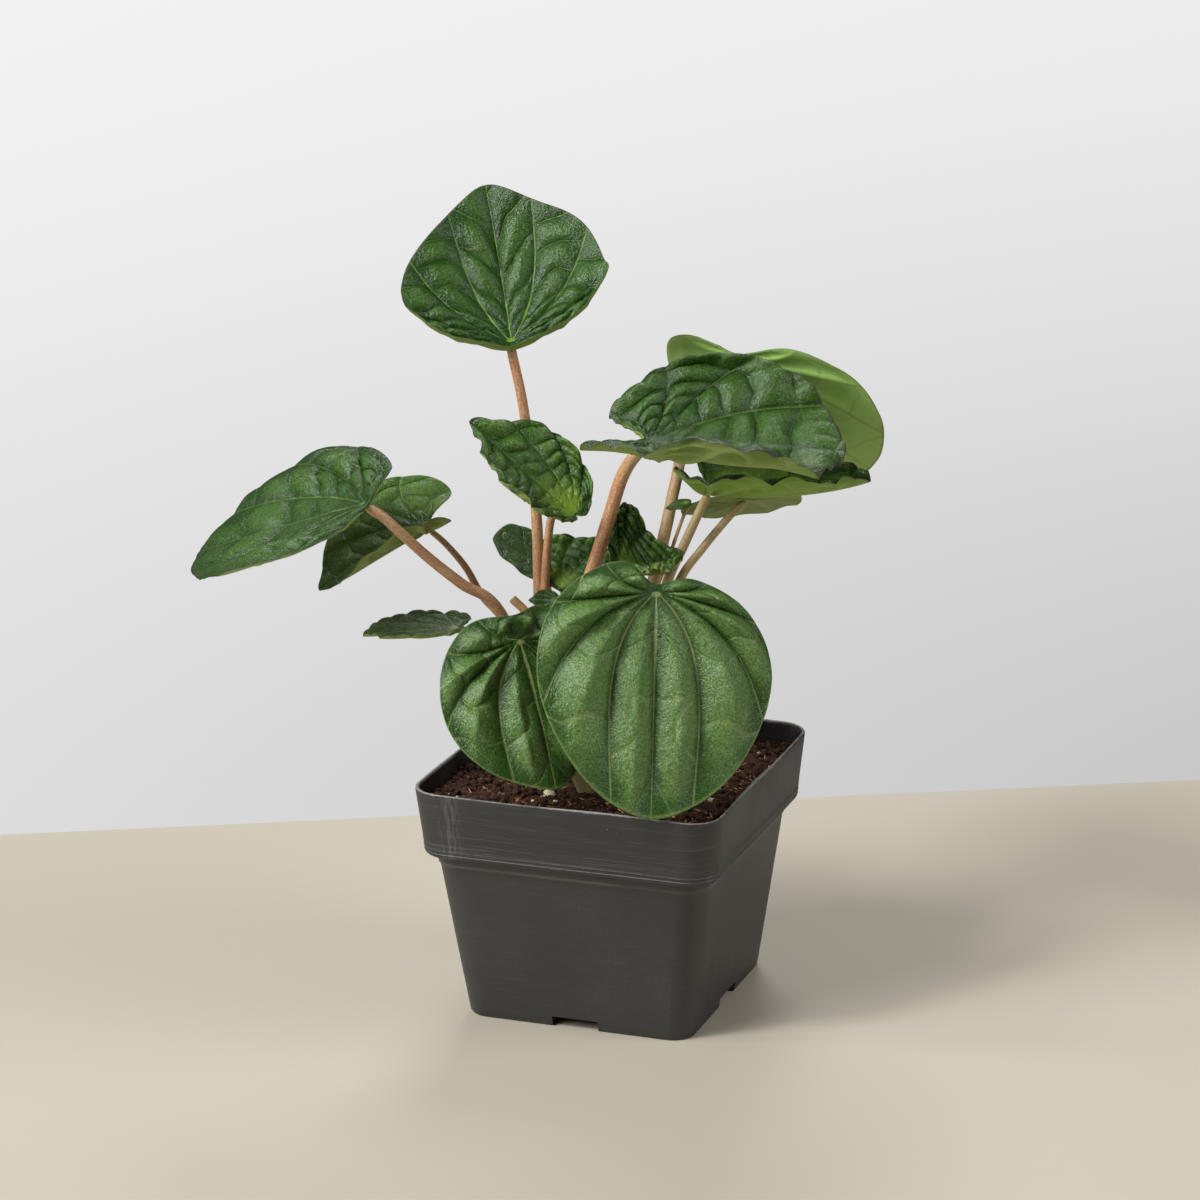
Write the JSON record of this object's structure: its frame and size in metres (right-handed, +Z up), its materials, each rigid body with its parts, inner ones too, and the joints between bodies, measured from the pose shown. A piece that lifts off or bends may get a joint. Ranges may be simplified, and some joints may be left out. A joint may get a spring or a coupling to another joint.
{
  "type": "potted peperomia",
  "caption": "Small house plant with heart-shaped, puckered dark green leaves on terracotta stalks, in soil in a square dark grey nursery pot.",
  "frame": {"origin": "centre of the pot's footprint, on the surface it stands on", "axes": "+Z up through the plant, X and Y square to the pot's sides; -Y is the pot side nearest the camera in the picture"},
  "size_m": [0.1997, 0.1603, 0.2523],
  "materials": {
    "pot": "satin charcoal plastic, dusty, finely scratched",
    "soil": "fibrous dark peat with pale perlite grains",
    "stalk": "succulent terracotta stalk with fine darker speckles",
    "leaf": "glossy puckered dark green blade with silvery ridges and paler veins"
  },
  "bodies": {
    "root": {"pot": "pot", "soil": "soil", "stem_left": "stalk", "stem_right": "stalk", "stem_front": "stalk", "blade_top": "leaf", "blade_left_big": "leaf", "blade_left_second": "leaf", "blade_left_low": "leaf", "blade_young_middle": "leaf", "blade_behind_stalks": "leaf", "blade_young_curly": "leaf", "blade_young_right": "leaf", "blade_right_big": "leaf", "blade_back_right": "leaf", "blade_right_lower": "leaf", "blade_right_droop": "leaf", "blade_front_big": "leaf", "blade_front_left": "leaf", "blade_tiny_front": "leaf", "blade_tiny_back": "leaf"}
  },
  "joints": []
}
